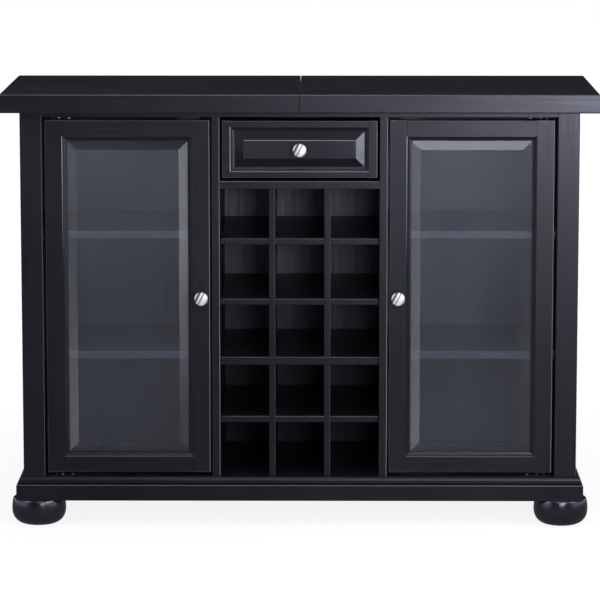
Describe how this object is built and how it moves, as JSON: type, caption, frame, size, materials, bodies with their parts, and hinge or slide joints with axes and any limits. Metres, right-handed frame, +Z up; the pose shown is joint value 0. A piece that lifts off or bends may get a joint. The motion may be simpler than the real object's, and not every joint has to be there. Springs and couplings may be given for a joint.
{
  "type": "bar cabinet",
  "caption": "Black bar cabinet with a sliding top, glazed doors with shelves behind, a drawer over an open bottle rack, and bun feet.",
  "frame": {"origin": "on the floor under the middle of the cabinet's overall box", "axes": "+X to the right seen from the front, +Y to the back, +Z up; the doors face -Y"},
  "size_m": [1.219, 0.457, 0.897],
  "materials": {
    "black_lacquer": "satin black lacquer over close-grained wood",
    "back_board": "black-stained veneer board with upright grain",
    "glass": "clear plate with a polished bevel",
    "nickel": "brushed nickel",
    "zinc_steel": "zinc-plated steel",
    "catch_plastic": "matt moulded plastic"
  },
  "bodies": {
    "case": {"back_panel": "back_board", "bottom_panel": "black_lacquer", "case_fasteners": "zinc_steel", "door_catches": "catch_plastic", "drawer_shelf": "black_lacquer", "drawer_tracks": "zinc_steel", "foot_back_left": "black_lacquer", "foot_back_right": "black_lacquer", "foot_front_left": "black_lacquer", "foot_front_right": "black_lacquer", "leaf_tracks": "zinc_steel", "partition_left": "black_lacquer", "partition_right": "black_lacquer", "pivot_plates": "zinc_steel", "plinth_back": "black_lacquer", "plinth_blocks": "black_lacquer", "plinth_front": "black_lacquer", "plinth_left": "black_lacquer", "plinth_right": "black_lacquer", "post_back_left": "black_lacquer", "post_back_right": "black_lacquer", "post_front_left": "black_lacquer", "post_front_right": "black_lacquer", "rack_boards": "black_lacquer", "rack_shelf": "black_lacquer", "rack_uprights": "black_lacquer", "shelf_pins": "zinc_steel", "shelves_left": "black_lacquer", "shelves_right": "black_lacquer", "side_panel_left": "black_lacquer", "side_panel_right": "black_lacquer", "side_rails": "black_lacquer", "sub_top": "black_lacquer", "top_rails": "black_lacquer"},
    "door_left": {"door_left_glass": "glass", "door_left_glass_stops": "black_lacquer", "door_left_hardware": "zinc_steel", "door_left_knob": "nickel", "door_left_rails": "black_lacquer", "door_left_stiles": "black_lacquer"},
    "door_right": {"door_right_glass": "glass", "door_right_glass_stops": "black_lacquer", "door_right_hardware": "zinc_steel", "door_right_knob": "nickel", "door_right_rails": "black_lacquer", "door_right_stiles": "black_lacquer"},
    "drawer": {"drawer_box": "black_lacquer", "drawer_front_frame": "black_lacquer", "drawer_knob": "nickel", "drawer_raised_panel": "black_lacquer", "drawer_runners": "zinc_steel"},
    "drawer_ball_cages": {"drawer_cages": "zinc_steel"},
    "leaf_left": {"leaf_left_deck": "black_lacquer", "leaf_left_runners": "zinc_steel", "leaf_left_skirts": "black_lacquer"},
    "leaf_left_ball_cages": {"leaf_left_cages": "zinc_steel"},
    "leaf_right": {"leaf_right_deck": "black_lacquer", "leaf_right_runners": "zinc_steel", "leaf_right_skirts": "black_lacquer"},
    "leaf_right_ball_cages": {"leaf_right_cages": "zinc_steel"}
  },
  "joints": [
    {"name": "door_left_hinge", "type": "hinge", "parent": "case", "child": "door_left", "pos_m": [-0.5033, -0.1875, 0.4772], "axis": [0, 0, -1], "range_deg": [0, 110]},
    {"name": "door_right_hinge", "type": "hinge", "parent": "case", "child": "door_right", "pos_m": [0.5033, -0.1875, 0.4772], "axis": [0, 0, 1], "range_deg": [0, 110]},
    {"name": "drawer_slide", "type": "slide", "parent": "case", "child": "drawer", "axis": [0, -1, 0], "range_m": [0, 0.22]},
    {"name": "leaf_left_slide", "type": "slide", "parent": "case", "child": "leaf_left", "axis": [-1, 0, 0], "range_m": [0, 0.3]},
    {"name": "leaf_right_slide", "type": "slide", "parent": "case", "child": "leaf_right", "axis": [1, 0, 0], "range_m": [0, 0.3]},
    {"name": "drawer_cage_slide", "type": "slide", "parent": "case", "child": "drawer_ball_cages", "axis": [0, -1, 0], "range_m": [0, 0.11]},
    {"name": "leaf_left_cage_slide", "type": "slide", "parent": "case", "child": "leaf_left_ball_cages", "axis": [-1, 0, 0], "range_m": [0, 0.15]},
    {"name": "leaf_right_cage_slide", "type": "slide", "parent": "case", "child": "leaf_right_ball_cages", "axis": [1, 0, 0], "range_m": [0, 0.15]}
  ],
  "couplings": [
    {"joint": "drawer_cage_slide", "follows": "drawer_slide", "ratio": 0.5},
    {"joint": "leaf_left_cage_slide", "follows": "leaf_left_slide", "ratio": 0.5},
    {"joint": "leaf_right_cage_slide", "follows": "leaf_right_slide", "ratio": 0.5}
  ]
}
